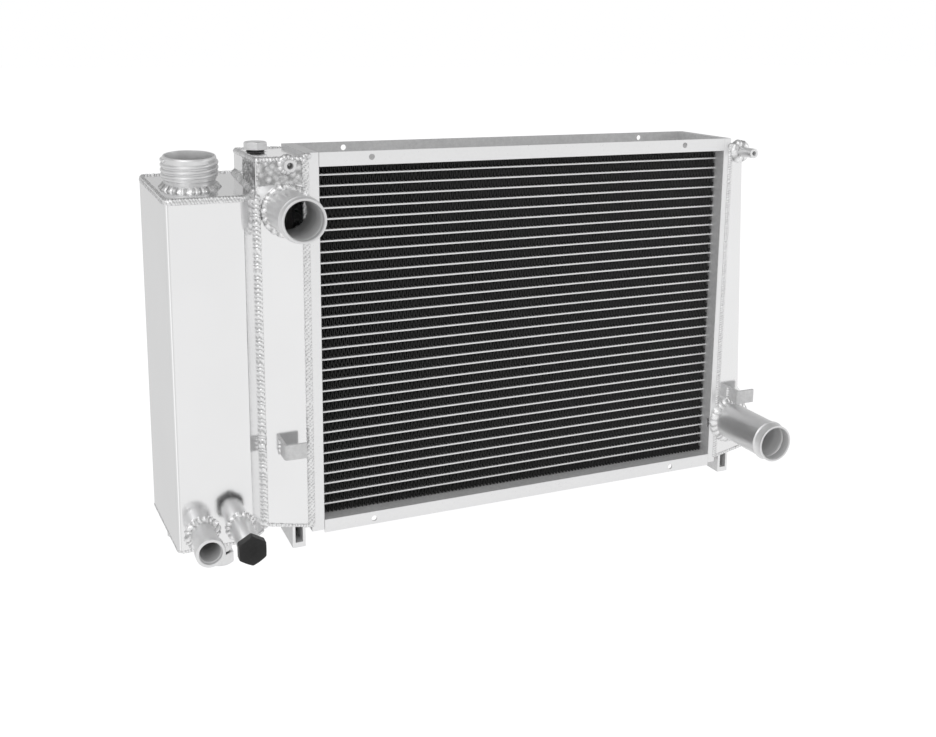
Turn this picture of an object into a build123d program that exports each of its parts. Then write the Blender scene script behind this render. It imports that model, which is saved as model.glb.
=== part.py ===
from build123d import *
import math
import os

# Welded aluminium crossflow radiator with an expansion tank on its left side, in millimetres.
# X runs along the core, Y from the front flanges to the rear ones, Z up. The origin is the
# centre of the four front flange holes, on the flanges' front plane.

# ---------------------------------------------------------------- driving dimensions

# Core: flat tubes in two rows, one fin strip between each pair and outside the last ones
core_width = 426.0
tube_count = 32
tube_rows = 2
tube_height = 2.0
tube_width = 28.0
tube_row_gap = 4.0
tube_wall = 0.4
tube_end = 1.5
fin_height = 8.0
fin_end_gap = 1.0
braze_gap = 0.05

# Frame: channels above and below the core, headers at its ends
frame_depth = 88.0
channel_sheet = 2.0
flange_height = 12.5
flange_hole_radius = 2.75
flange_hole_spacing = 330.0
flange_hole_rise = 7.0
header_plate = 3.0
header_lip = 3.0
header_pocket_margin = 4.0
header_fold_radius = 1.0
header_end_rise = 3.0
left_header_depth = 12.0
right_header_depth = 8.0

# End tanks: bent sheet with flat caps
tank_wall = 3.0
tank_bend = 3.5
tank_bottom_rise = 7.5
tank_bottom_slope = 0.2
left_tank_width = 45.0
left_tank_top_drop = 3.5
right_tank_top_drop = 8.5
right_tank_top_width = 14.0
right_tank_waist_width = 26.0
right_tank_waist_rise = 77.0
right_tank_flare_drop = 14.0
transfer_hole_radius = 8.0
transfer_hole_rise = 39.0
air_hole_radius = 3.5
air_hole_drop = 53.0

# Expansion tank: bent sheet, sloping plates
expansion_wall = 2.5
expansion_bend = 5.0
expansion_proud = 14.0
expansion_width = 77.5
expansion_splay = 7.5
expansion_chamfer = 13.5
expansion_top_drop = 33.0
expansion_top_slope = 0.088
expansion_bottom_rise = 6.5
expansion_bottom_slope = 0.049
expansion_plate = 3.0

# Filler neck, square to the sloping top plate
filler_inset = 29.0
filler_forward = 9.0
filler_bore = 20.8
filler_root = 22.8
filler_crest = 24.6
filler_foot = 21.8
filler_height = 27.5
filler_plain_foot = 7.5
thread_pitch = 4.4
thread_turns = 4
thread_crest_width = 1.4
thread_flank = 1.0

# Hose necks
hose_radius = 19.0
hose_wall = 2.2
hose_bead_rise = 1.3
hose_bead_width = 3.6
inlet_margin = 9.0
inlet_drop = 46.0
inlet_length = 58.0
inlet_land = 6.0
outlet_lap = 2.0
outlet_margin = 1.0
outlet_rise = 41.0
outlet_length = 77.0
outlet_land = 8.5

# Small hose outlet of the expansion tank
small_hose_inset = 21.0
small_hose_rise = 12.5
small_hose_length = 41.0
small_hose_radius = 10.8
small_hose_mouth_radius = 12.6
small_hose_land = 9.0
small_hose_wall = 2.0
small_hose_step = 2.5

# Sensor port with its blanking plug
sensor_inset = 23.5
sensor_rise = 13.0
sensor_port_radius = 10.0
sensor_port_length = 41.0
sensor_bore = 7.5
plug_flats = 23.0
plug_head = 9.0
plug_shank = 14.0

# Drain under the expansion tank
drain_inset = 39.0
drain_back = 12.0
drain_bore = 6.0
drain_bung_radius = 9.4
drain_bung_inside = 4.0
drain_bung_drop = 8.0
drain_flats = 20.0
drain_head = 10.5
drain_shank = 12.0

# Bleed screw on the left end tank
bleed_inset = 13.5
bleed_back = 11.0
bleed_bore = 6.0
bleed_bung_radius = 10.0
bleed_bung_depth = 12.0
bleed_flats = 19.0
bleed_head = 7.4
bleed_shank = 9.0

# Fits of the screwed pieces and their seals
thread_clearance = 0.05
seal_section = 2.0
seal_gap = 0.05
seal_grip = 0.1
hex_chamfer = 1.0
hex_sides = 6

# Nipples for the vent hoses
bleed_nipple_inset = 16.5
bleed_nipple_drop = 6.0
bleed_nipple_radius = 5.5
bleed_nipple_bore = 2.75
bleed_nipple_length = 12.0
vent_nipple_inset = 10.5
vent_nipple_drop = 5.0
vent_nipple_radius = 4.8
vent_nipple_bore = 2.25
vent_nipple_length = 25.0

# Bent tabs on the front, feet and the locating peg below
tab_sheet = 2.5
tab_bend = 3.5
tab_standoff = 17.0
tab_width = 20.0
tab_height = 14.0
left_tab_inset = 28.0
left_tab_rise = 82.0
right_tab_inset = 14.0
right_tab_lift = 11.0
foot_width = 12.0
foot_drop = 17.5
foot_wall = 2.5
foot_floor = 5.0
foot_length = 70.0
left_foot_inset = 12.5
right_foot_inset = 11.5
peg_inset = 2.5
peg_forward = 6.0
peg_radius = 4.5
peg_drop = 9.0

# Weld beads
bead_width = 7.0
bead_rise = 1.6
edge_bead_radius = 2.4
seam_bead_radius = 3.4
bead_inset = 1.0
neck_bead = 4.0
outlet_bead = 6.0
small_bead = 2.4

# ---------------------------------------------------------------- worked out from them

row_pitch = fin_height + tube_height
core_depth = tube_rows * tube_width + (tube_rows - 1) * tube_row_gap
core_height = (tube_count + 1) * fin_height + tube_count * tube_height
half_width = core_width / 2
half_height = core_height / 2
middle_y = frame_depth / 2
frame_top = half_height + flange_height
pocket_half_height = half_height - fin_height + header_pocket_margin
tank_bottom = -frame_top + tank_bottom_rise
left_tank_top_z = frame_top - left_tank_top_drop
left_tank_inner_x = -half_width - left_header_depth
left_tank_outer_x = left_tank_inner_x - left_tank_width
right_tank_inner_x = half_width + right_header_depth
right_tank_top = frame_top - right_tank_top_drop
right_tank_waist_z = tank_bottom + right_tank_waist_rise
transfer_hole_z = tank_bottom + transfer_hole_rise
air_hole_z = left_tank_top_z - air_hole_drop
expansion_front = -expansion_proud
expansion_left_x = left_tank_outer_x - expansion_width
expansion_top_front = left_tank_top_z - expansion_top_drop
expansion_bottom_front = tank_bottom + expansion_bottom_rise

# Where the fittings stand: from the end tanks' inner sides, the expansion tank's sides, the
# tanks' tops and bottoms, and the middle of the depth
inlet_x = left_tank_outer_x + inlet_margin + hose_radius
inlet_z = left_tank_top_z - inlet_drop
outlet_x = right_tank_inner_x - outlet_lap + hose_radius
outlet_z = tank_bottom + outlet_rise
small_hose_x = expansion_left_x + small_hose_inset
small_hose_z = expansion_bottom_front + small_hose_rise
sensor_x = left_tank_outer_x - sensor_inset
sensor_z = expansion_bottom_front + sensor_rise
filler_x = expansion_left_x + filler_inset
filler_y = middle_y - filler_forward
drain_x = left_tank_outer_x - drain_inset
drain_y = expansion_front + drain_back
bleed_x = left_tank_outer_x + bleed_inset
bleed_y = middle_y + bleed_back
bleed_nipple_x = left_tank_inner_x - bleed_nipple_inset
bleed_nipple_z = left_tank_top_z - bleed_nipple_drop
vent_nipple_x = right_tank_inner_x + vent_nipple_inset
vent_nipple_z = right_tank_top - vent_nipple_drop
left_tab_x = left_tank_inner_x - left_tab_inset
left_tab_z = tank_bottom + left_tab_rise
right_tab_x = right_tank_inner_x + right_tab_inset
right_tab_z = outlet_z + hose_radius + right_tab_lift
left_foot_x = left_tank_inner_x - left_foot_inset
right_foot_x = right_tank_inner_x + right_foot_inset
foot_bottom = tank_bottom - foot_drop
peg_x = expansion_left_x + peg_inset
peg_y = middle_y - peg_forward

top_normal = Vector(0, -expansion_top_slope, 1).normalized()
bottom_normal = Vector(0, -expansion_bottom_slope, 1).normalized()
shell_top = Plane((0, expansion_front, expansion_top_front), (1, 0, 0), top_normal)
shell_bottom = Plane((0, expansion_front, expansion_bottom_front), (1, 0, 0), bottom_normal)
plate_top = shell_top.offset(expansion_plate)
plate_bottom = shell_bottom.offset(-expansion_plate)

# The end tanks' bottoms rise away from the core
left_bottom = Plane((left_tank_inner_x, 0, tank_bottom), (0, 1, 0), (tank_bottom_slope, 0, 1))
right_bottom = Plane((right_tank_inner_x, 0, tank_bottom), (0, 1, 0), (-tank_bottom_slope, 0, 1))

os.makedirs("parts", exist_ok=True)


# ---------------------------------------------------------------- helpers


def save(piece, name):
    """Label a finished piece and write it to its own file."""
    piece.part.label = name
    export_step(piece.part, f"parts/{name}.step")


def bottom_level(x):
    """The height of the end tanks' sloping bottoms at x."""
    inner_x = left_tank_inner_x if x < 0 else right_tank_inner_x
    return tank_bottom + tank_bottom_slope * abs(x - inner_x)


def parallel_path(path, distance):
    """The open path moved to its left by a distance, with mitred corners."""
    points = [Vector(*point) for point in path]
    runs = [(b - a).normalized() for a, b in zip(points, points[1:])]
    lefts = [Vector(-run.Y, run.X) for run in runs]
    moved = [points[0] + lefts[0] * distance]
    for point, before, after in zip(points[1:-1], lefts, lefts[1:]):
        bisector = (before + after).normalized()
        moved.append(point + bisector * (distance / bisector.dot(before)))
    moved.append(points[-1] + lefts[-1] * distance)
    return [(point.X, point.Y) for point in moved]


def sheet_section(path, thickness, bend):
    """A bent sheet's section: the path is its outer face, with the metal on its left."""
    inner = parallel_path(path, thickness)
    with BuildSketch() as section:
        with BuildLine():
            FilletPolyline(*path, radius=bend)
            FilletPolyline(*inner, radius=bend - thickness)
            Line(path[0], inner[0])
            Line(path[-1], inner[-1])
        make_face()
    return section.sketch


def front_plane(x, y, z):
    """A plane facing forwards: its own x is +X, its own y is +Z."""
    return Plane((x, y, z), (1, 0, 0), (0, -1, 0))


def turned(base, profile):
    """Turn a closed profile of (radius, height) points about the base plane's normal."""
    side = Plane(base.origin, base.x_dir, base.y_dir * -1)
    with BuildSketch(side) as section:
        with BuildLine():
            Polyline(*profile, close=True)
        make_face()
    revolve(section.sketch, axis=Axis(base.origin, base.z_dir))


def bore(base, radius, depth):
    """Cut a round hole from the base plane, against its normal."""
    with BuildSketch(base) as hole:
        Circle(radius)
    extrude(hole.sketch, amount=-depth, mode=Mode.SUBTRACT)


def bead(start, end, outward, width=bead_width, rise=bead_rise):
    """A flat-bottomed weld bead from start to end, standing up along outward."""
    along = Vector(*end) - Vector(*start)
    across = Vector(*outward).cross(along)
    with BuildSketch(Plane(start, across, along)) as section:
        with BuildLine():
            ThreePointArc((-width / 2, 0), (0, rise), (width / 2, 0))
            Line((width / 2, 0), (-width / 2, 0))
        make_face()
    extrude(section.sketch, amount=along.length)


def round_bead(path, radius):
    """A round weld bead that follows straight seams with mitred corners."""
    with BuildLine() as seam:
        Polyline(*path)
    with BuildSketch(Plane(seam.line @ 0, z_dir=seam.line % 0)) as section:
        Circle(radius)
    sweep(section.sketch, path=seam.line, transition=Transition.RIGHT)


def fillet_ring(base, radius, leg):
    """A weld of triangular section round a neck's foot."""
    turned(base, [(radius, 0), (radius + leg, 0), (radius, leg)])


# ---------------------------------------------------------------- core

tube_rows_y = [
    middle_y + (row - (tube_rows - 1) / 2) * (tube_width + tube_row_gap) for row in range(tube_rows)
]
tube_levels = [-half_height + fin_height + tube_height / 2 + row_pitch * level for level in range(tube_count)]
tube_places = [(y, z) for y in tube_rows_y for z in tube_levels]

with BuildPart() as core_tubes:
    with BuildSketch(Plane.YZ):
        with Locations(*tube_places):
            SlotOverall(tube_width, tube_height)
            SlotOverall(tube_width - 2 * tube_wall, tube_height - 2 * tube_wall, mode=Mode.SUBTRACT)
    extrude(amount=half_width + header_plate + tube_end, both=True)
save(core_tubes, "core_tubes")

with BuildPart() as core_fins:
    with BuildSketch(Plane.XZ.offset(-middle_y)):
        with GridLocations(1, row_pitch, 1, tube_count + 1):
            Rectangle(core_width - 2 * fin_end_gap, fin_height)
    extrude(amount=core_depth / 2, both=True)
save(core_fins, "core_fins")


# ---------------------------------------------------------------- channels and headers


def channel(side):
    """A folded channel on the core's top (side 1) or bottom (side -1)."""
    web = side * half_height
    web_outer = side * (half_height + channel_sheet)
    edge = side * frame_top
    with BuildPart() as piece:
        with BuildSketch(Plane.YZ):
            with BuildLine():
                Polyline(
                    (0, web),
                    (frame_depth, web),
                    (frame_depth, edge),
                    (frame_depth - channel_sheet, edge),
                    (frame_depth - channel_sheet, web_outer),
                    (channel_sheet, web_outer),
                    (channel_sheet, edge),
                    (0, edge),
                    close=True,
                )
            make_face()
        extrude(amount=half_width, both=True)
        with BuildSketch(Plane.XZ):
            with Locations((0, side * (half_height + flange_hole_rise))):
                with GridLocations(flange_hole_spacing, 1, 2, 1):
                    Circle(flange_hole_radius)
        extrude(amount=-frame_depth, mode=Mode.SUBTRACT)
    return piece


save(channel(1), "top_channel")
save(channel(-1), "bottom_channel")


def header(side, depth):
    """A header with a slot for every tube, its pocket open towards the end tank."""
    with BuildPart() as piece:
        with BuildSketch(Plane.YZ.offset(side * half_width)):
            with Locations((middle_y, header_end_rise / 2)):
                Rectangle(frame_depth, 2 * frame_top - header_end_rise)
        extrude(amount=side * depth)
        folds = piece.edges().filter_by(Axis.Z).group_by(Axis.X)[0 if side > 0 else -1]
        fillet(folds, header_fold_radius)
        with BuildSketch(Plane.YZ.offset(side * (half_width + header_plate))):
            with Locations((middle_y, 0)):
                Rectangle(frame_depth - 2 * header_lip, 2 * pocket_half_height)
        extrude(amount=side * (depth - header_plate), mode=Mode.SUBTRACT)
        with BuildSketch(Plane.YZ.offset(side * half_width)):
            with Locations(*tube_places):
                SlotOverall(tube_width + 2 * braze_gap, tube_height + 2 * braze_gap)
        extrude(amount=side * header_plate, mode=Mode.SUBTRACT)
    return piece


save(header(-1, left_header_depth), "left_header")
save(header(1, right_header_depth), "right_header")

# ---------------------------------------------------------------- left end tank

left_wall_path = [
    (left_tank_inner_x, frame_depth),
    (left_tank_outer_x, frame_depth),
    (left_tank_outer_x, 0),
    (left_tank_inner_x, 0),
]
bleed_seat = Plane((bleed_x, bleed_y, left_tank_top_z), (1, 0, 0), (0, 0, 1))
inlet_seat = front_plane(inlet_x, 0, inlet_z)
bleed_nipple_seat = front_plane(bleed_nipple_x, 0, bleed_nipple_z)

with BuildPart() as left_end_tank:
    with BuildSketch(Plane.XY.offset(tank_bottom)):
        add(sheet_section(left_wall_path, tank_wall, tank_bend))
    extrude(amount=left_tank_top_z - tank_bottom)
    split(bisect_by=left_bottom, keep=Keep.TOP)
    bore(inlet_seat, hose_radius - hose_wall, tank_wall)
    bore(bleed_nipple_seat, bleed_nipple_bore, tank_wall)
    for hole_z, hole_radius in ((transfer_hole_z, transfer_hole_radius), (air_hole_z, air_hole_radius)):
        outer_wall = Plane((left_tank_outer_x, middle_y, hole_z), (0, 1, 0), (-1, 0, 0))
        bore(outer_wall, hole_radius, tank_wall)
save(left_end_tank, "left_end_tank")

left_cap_width = left_tank_width - tank_wall
left_cap_x = left_tank_inner_x - left_cap_width / 2
cap_depth = frame_depth - 2 * tank_wall

with BuildSketch() as left_cap:
    with Locations((left_cap_x, middle_y)):
        Rectangle(left_cap_width, cap_depth)
    fillet(left_cap.vertices().group_by(Axis.X)[0], tank_bend - tank_wall)

with BuildPart() as left_tank_top:
    with BuildSketch(Plane.XY.offset(left_tank_top_z - tank_wall)):
        add(left_cap.sketch)
        with Locations((bleed_x, bleed_y)):
            Circle(bleed_bung_radius + braze_gap, mode=Mode.SUBTRACT)
    extrude(amount=tank_wall)
save(left_tank_top, "left_tank_top")

with BuildPart() as left_tank_bottom:
    with BuildSketch(Plane.XY.offset(tank_bottom)):
        add(left_cap.sketch)
    extrude(amount=left_tank_width)
    split(bisect_by=left_bottom, keep=Keep.TOP)
    split(bisect_by=left_bottom.offset(tank_wall), keep=Keep.BOTTOM)
save(left_tank_bottom, "left_tank_bottom")

# ---------------------------------------------------------------- right end tank

# The outer wall leans out downwards, then flares to make room for the outlet neck
right_waist_x = right_tank_inner_x + right_tank_waist_width
right_outer_x = outlet_x + hose_radius + outlet_margin
right_wall_path = [
    (right_tank_inner_x + right_tank_top_width, right_tank_top),
    (right_waist_x, right_tank_waist_z),
    (right_outer_x, right_tank_waist_z - right_tank_flare_drop),
    (right_outer_x, tank_bottom),
]
right_wall_inner = parallel_path(right_wall_path, -tank_wall)
outlet_seat = front_plane(outlet_x, 0, outlet_z)
vent_nipple_seat = front_plane(vent_nipple_x, 0, vent_nipple_z)

with BuildPart() as right_end_tank:
    with BuildSketch(Plane.XZ):
        with BuildLine():
            Polyline(
                (right_tank_inner_x, right_tank_top),
                *right_wall_path,
                (right_tank_inner_x, tank_bottom),
                close=True,
            )
        make_face()
    extrude(amount=-frame_depth)
    with BuildSketch(Plane.XZ.offset(-tank_wall)):
        with BuildLine():
            Polyline(
                (right_tank_inner_x, right_tank_top),
                *right_wall_inner,
                (right_tank_inner_x, tank_bottom),
                close=True,
            )
        make_face()
    extrude(amount=-cap_depth, mode=Mode.SUBTRACT)
    split(bisect_by=right_bottom, keep=Keep.TOP)
    bore(outlet_seat, hose_radius - hose_wall, tank_wall)
    bore(vent_nipple_seat, vent_nipple_bore, tank_wall)
save(right_end_tank, "right_end_tank")


def right_cap(low, high):
    """A cap that fills the right end tank's section between two planes."""
    with BuildPart() as piece:
        with BuildSketch(Plane.XZ.offset(-tank_wall)):
            with BuildLine():
                Polyline(
                    (right_tank_inner_x, right_tank_top),
                    *right_wall_inner,
                    (right_tank_inner_x, tank_bottom),
                    close=True,
                )
            make_face()
        extrude(amount=-cap_depth)
        split(bisect_by=low, keep=Keep.TOP)
        split(bisect_by=high, keep=Keep.BOTTOM)
    return piece


right_top = Plane.XY.offset(right_tank_top)
save(right_cap(right_top.offset(-tank_wall), right_top), "right_tank_top")
save(right_cap(right_bottom, right_bottom.offset(tank_wall)), "right_tank_bottom")

# ---------------------------------------------------------------- expansion tank

expansion_path = [
    (left_tank_outer_x, frame_depth),
    (expansion_left_x - expansion_splay, frame_depth),
    (expansion_left_x, expansion_front),
    (left_tank_outer_x - expansion_chamfer, expansion_front),
    (left_tank_outer_x, 0),
]
small_hose_seat = front_plane(small_hose_x, expansion_front, small_hose_z)
sensor_seat = front_plane(sensor_x, expansion_front, sensor_z)
filler_level = expansion_top_front + expansion_top_slope * (filler_y - expansion_front)
filler_seat = Plane((filler_x, filler_y, filler_level), (1, 0, 0), top_normal).offset(expansion_plate)
sheet_low = expansion_bottom_front - frame_depth
sheet_tall = expansion_top_front + frame_depth - sheet_low

with BuildPart() as expansion_shell:
    with BuildSketch(Plane.XY.offset(sheet_low)):
        add(sheet_section(expansion_path, expansion_wall, expansion_bend))
    extrude(amount=sheet_tall)
    split(bisect_by=shell_top, keep=Keep.BOTTOM)
    split(bisect_by=shell_bottom, keep=Keep.TOP)
    bore(small_hose_seat, small_hose_radius - small_hose_wall, expansion_wall)
    bore(sensor_seat, sensor_bore, expansion_wall)
save(expansion_shell, "expansion_shell")


with BuildSketch() as expansion_footprint:
    with BuildLine():
        FilletPolyline(*expansion_path, radius=expansion_bend)
        Line(expansion_path[-1], expansion_path[0])
    make_face()

with BuildPart() as expansion_top:
    with BuildSketch(Plane.XY.offset(sheet_low)):
        add(expansion_footprint.sketch)
    extrude(amount=sheet_tall)
    split(bisect_by=plate_top, keep=Keep.BOTTOM)
    split(bisect_by=shell_top, keep=Keep.TOP)
    bore(filler_seat, filler_bore, 2 * expansion_plate)
save(expansion_top, "expansion_top")

drain_plate_z = expansion_bottom_front + expansion_bottom_slope * (drain_y - expansion_front)
drain_face_z = drain_plate_z - expansion_plate - drain_bung_drop
drain_face = Plane((drain_x, drain_y, drain_face_z), (1, 0, 0), (0, 0, -1))

with BuildPart() as expansion_bottom:
    with BuildSketch(Plane.XY.offset(sheet_low)):
        add(expansion_footprint.sketch)
    extrude(amount=sheet_tall)
    split(bisect_by=shell_bottom, keep=Keep.BOTTOM)
    split(bisect_by=plate_bottom, keep=Keep.TOP)
    bore(drain_face, drain_bung_radius + braze_gap, frame_depth)
save(expansion_bottom, "expansion_bottom")


thread_ridges = []
for turn in range(thread_turns):
    ridge = filler_plain_foot + turn * thread_pitch
    thread_ridges += [
        (filler_root, ridge),
        (filler_crest, ridge + thread_flank),
        (filler_crest, ridge + thread_flank + thread_crest_width),
        (filler_root, ridge + 2 * thread_flank + thread_crest_width),
    ]

with BuildPart() as filler_neck:
    turned(
        filler_seat,
        [
            (filler_bore, 0),
            (filler_foot, 0),
            (filler_foot, filler_plain_foot - thread_flank),
            *thread_ridges,
            (filler_root, filler_height),
            (filler_bore, filler_height),
        ],
    )
save(filler_neck, "filler_neck")

# ---------------------------------------------------------------- hose necks and nipples


def hose_profile(length, land):
    """A hose neck's section, with a raised bead behind the mouth's plain land."""
    bead_start = length - land - hose_bead_width
    quarter = hose_bead_width / 4
    return [
        (hose_radius - hose_wall, 0),
        (hose_radius, 0),
        (hose_radius, bead_start),
        (hose_radius + hose_bead_rise, bead_start + quarter),
        (hose_radius + hose_bead_rise, bead_start + 3 * quarter),
        (hose_radius, length - land),
        (hose_radius, length),
        (hose_radius - hose_wall, length),
    ]


with BuildPart() as inlet_neck:
    turned(inlet_seat, hose_profile(inlet_length, inlet_land))
save(inlet_neck, "inlet_neck")

with BuildPart() as outlet_neck:
    turned(outlet_seat, hose_profile(outlet_length, outlet_land))
save(outlet_neck, "outlet_neck")

small_hose_bore = small_hose_radius - small_hose_wall
small_hose_land_start = small_hose_length - small_hose_land

with BuildPart() as expansion_outlet:
    turned(
        small_hose_seat,
        [
            (small_hose_bore, 0),
            (small_hose_radius, 0),
            (small_hose_radius, small_hose_land_start - small_hose_step),
            (small_hose_mouth_radius, small_hose_land_start),
            (small_hose_mouth_radius, small_hose_length),
            (small_hose_bore, small_hose_length),
        ],
    )
save(expansion_outlet, "expansion_outlet")


def nipple(seat, radius, hole, length):
    """A short plain tube that stands on a tank's face."""
    with BuildPart() as piece:
        turned(seat, [(hole, 0), (radius, 0), (radius, length), (hole, length)])
    return piece


save(nipple(bleed_nipple_seat, bleed_nipple_radius, bleed_nipple_bore, bleed_nipple_length), "bleed_nipple")
save(nipple(vent_nipple_seat, vent_nipple_radius, vent_nipple_bore, vent_nipple_length), "vent_nipple")
save(nipple(sensor_seat, sensor_port_radius, sensor_bore, sensor_port_length), "sensor_port")

# ---------------------------------------------------------------- screwed pieces and seals


def screw(face, flats, head, shank_radius, shank):
    """A hexagon-headed screw whose head stands off the face by its seal."""
    seat = face.offset(seal_section + 2 * seal_gap)
    with BuildPart() as piece:
        with BuildSketch(seat):
            RegularPolygon(flats / 2, hex_sides, major_radius=False, rotation=30)
        extrude(amount=head)
        rim = piece.faces().sort_by(Axis(face.origin, face.z_dir))[-1].edges()
        chamfer(rim, hex_chamfer)
        with BuildSketch(seat):
            Circle(shank_radius)
        extrude(amount=-(shank + seal_section + 2 * seal_gap))
    return piece


def seal(face, shank_radius):
    """A round sealing ring between a screw's head and the face it closes."""
    section = seal_section / 2
    middle = shank_radius + seal_grip + section
    side = Plane(face.origin, face.x_dir, face.y_dir * -1)
    with BuildPart() as piece:
        with BuildSketch(side):
            with Locations((middle, section + seal_gap)):
                Circle(section)
        revolve(axis=Axis(face.origin, face.z_dir))
    return piece


sensor_face = sensor_seat.offset(sensor_port_length)
sensor_shank = sensor_bore - thread_clearance
drain_shank_radius = drain_bore - thread_clearance
bleed_shank_radius = bleed_bore - thread_clearance

save(screw(sensor_face, plug_flats, plug_head, sensor_shank, plug_shank), "sensor_plug")
save(seal(sensor_face, sensor_shank), "sensor_seal")
save(screw(drain_face, drain_flats, drain_head, drain_shank_radius, drain_shank), "drain_plug")
save(seal(drain_face, drain_shank_radius), "drain_seal")
save(screw(bleed_seat, bleed_flats, bleed_head, bleed_shank_radius, bleed_shank), "bleed_screw")
save(seal(bleed_seat, bleed_shank_radius), "bleed_seal")

drain_bung_length = drain_bung_drop + expansion_plate + drain_bung_inside

with BuildPart() as drain_bung:
    with BuildSketch(drain_face):
        Circle(drain_bung_radius)
        Circle(drain_bore, mode=Mode.SUBTRACT)
    extrude(amount=-drain_bung_length)
save(drain_bung, "drain_bung")

with BuildPart() as bleed_bung:
    with BuildSketch(bleed_seat):
        Circle(bleed_bung_radius)
        Circle(bleed_bore, mode=Mode.SUBTRACT)
    extrude(amount=-bleed_bung_depth)
save(bleed_bung, "bleed_bung")

# ---------------------------------------------------------------- tabs, feet and peg


def tab(x, z):
    """A bent tab whose leg stands on the front face and whose plate runs along +X."""
    path = [(x, 0), (x, -tab_standoff), (x + tab_width, -tab_standoff)]
    with BuildPart() as piece:
        with BuildSketch(Plane.XY.offset(z - tab_height / 2)):
            add(sheet_section(path, tab_sheet, tab_bend))
        extrude(amount=tab_height)
    return piece


save(tab(left_tab_x, left_tab_z), "left_tab")
save(tab(right_tab_x, right_tab_z), "right_tab")


def foot(x):
    """A channel with its opening against the tank's bottom, running back from the front face."""
    half = foot_width / 2
    floor = foot_bottom + foot_floor
    with BuildPart() as piece:
        with BuildSketch(Plane.XZ):
            with BuildLine():
                Polyline(
                    (x - half, bottom_level(x - half)),
                    (x - half, foot_bottom),
                    (x + half, foot_bottom),
                    (x + half, bottom_level(x + half)),
                    (x + half - foot_wall, bottom_level(x + half - foot_wall)),
                    (x + half - foot_wall, floor),
                    (x - half + foot_wall, floor),
                    (x - half + foot_wall, bottom_level(x - half + foot_wall)),
                    close=True,
                )
            make_face()
        extrude(amount=-foot_length)
    return piece


save(foot(left_foot_x), "left_foot")
save(foot(right_foot_x), "right_foot")

with BuildPart() as locating_peg:
    with BuildSketch(Plane((peg_x, peg_y, expansion_bottom_front - peg_drop))):
        Circle(peg_radius)
    extrude(amount=frame_depth)
    split(bisect_by=plate_bottom, keep=Keep.BOTTOM)
save(locating_peg, "locating_peg")

# ---------------------------------------------------------------- weld beads

front = (0, -1, 0)
rear = (0, 1, 0)


def header_weld(x, top):
    """The front and rear beads between a header and its end tank."""
    with BuildPart() as piece:
        for y, outward in ((0, front), (frame_depth, rear)):
            bead((x, y, tank_bottom), (x, y, top), outward)
    return piece


save(header_weld(left_tank_inner_x, left_tank_top_z), "left_header_weld")
save(header_weld(right_tank_inner_x, right_tank_top), "right_header_weld")

seam_top = expansion_top_front + expansion_plate
rear_rise = frame_depth + expansion_proud

with BuildPart() as expansion_seam_weld:
    round_bead(
        [(left_tank_outer_x, 0, expansion_bottom_front), (left_tank_outer_x, 0, seam_top)],
        seam_bead_radius,
    )
    round_bead(
        [
            (left_tank_outer_x, frame_depth, expansion_bottom_front + expansion_bottom_slope * rear_rise),
            (left_tank_outer_x, frame_depth, seam_top + expansion_top_slope * rear_rise),
        ],
        seam_bead_radius,
    )
save(expansion_seam_weld, "expansion_seam_weld")


def plate_edge(level, slope, lift):
    """The expansion tank's outline, a little inside its edge, on a sloping plane."""
    inset = parallel_path(expansion_path, bead_inset)
    return [(x, y, level + slope * (y - expansion_front) + lift) for x, y in inset]


with BuildPart() as expansion_top_weld:
    round_bead(
        plate_edge(expansion_top_front, expansion_top_slope, expansion_plate - bead_inset),
        edge_bead_radius,
    )
save(expansion_top_weld, "expansion_top_weld")

with BuildPart() as expansion_bottom_weld:
    round_bead(
        plate_edge(expansion_bottom_front, expansion_bottom_slope, bead_inset - expansion_plate),
        edge_bead_radius,
    )
save(expansion_bottom_weld, "expansion_bottom_weld")

with BuildPart() as cap_welds:
    for inner_x, outer_x, inner_z, outer_z in (
        (left_tank_inner_x, left_tank_outer_x, left_tank_top_z, left_tank_top_z),
        (left_tank_inner_x, left_tank_outer_x, tank_bottom, bottom_level(left_tank_outer_x)),
        (right_tank_inner_x, right_wall_path[0][0], right_tank_top, right_tank_top),
        (right_tank_inner_x, right_outer_x, tank_bottom, bottom_level(right_outer_x)),
    ):
        edge_x = outer_x + math.copysign(bead_inset, inner_x - outer_x)
        lift = math.copysign(bead_inset, -inner_z)
        round_bead(
            [
                (inner_x, bead_inset, inner_z + lift),
                (edge_x, bead_inset, outer_z + lift),
                (edge_x, frame_depth - bead_inset, outer_z + lift),
                (inner_x, frame_depth - bead_inset, inner_z + lift),
            ],
            edge_bead_radius,
        )
save(cap_welds, "cap_welds")

with BuildPart() as neck_welds:
    fillet_ring(inlet_seat, hose_radius, neck_bead)
    fillet_ring(outlet_seat, hose_radius, outlet_bead)
    fillet_ring(small_hose_seat, small_hose_radius, neck_bead)
    fillet_ring(sensor_seat, sensor_port_radius, neck_bead)
    fillet_ring(filler_seat, filler_foot, neck_bead)
save(neck_welds, "neck_welds")

with BuildPart() as nipple_welds:
    fillet_ring(bleed_nipple_seat, bleed_nipple_radius, small_bead)
    fillet_ring(vent_nipple_seat, vent_nipple_radius, small_bead)
save(nipple_welds, "nipple_welds")

with BuildPart() as bracket_welds:
    for x, z in ((left_tab_x, left_tab_z), (right_tab_x, right_tab_z)):
        side_x = x - small_bead / 2
        low = z - tab_height / 2
        bead((side_x, 0, low), (side_x, 0, low + tab_height), front, small_bead, small_bead)
    for x in (left_foot_x, right_foot_x):
        for way in (-1, 1):
            side_x = x + way * (foot_width + small_bead) / 2
            side_z = bottom_level(side_x)
            bead((side_x, 0, side_z), (side_x, foot_length, side_z), (0, 0, -1), small_bead, small_bead)
save(bracket_welds, "bracket_welds")
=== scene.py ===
import math

import bmesh
import bpy
from mathutils import Matrix, Vector


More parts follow.
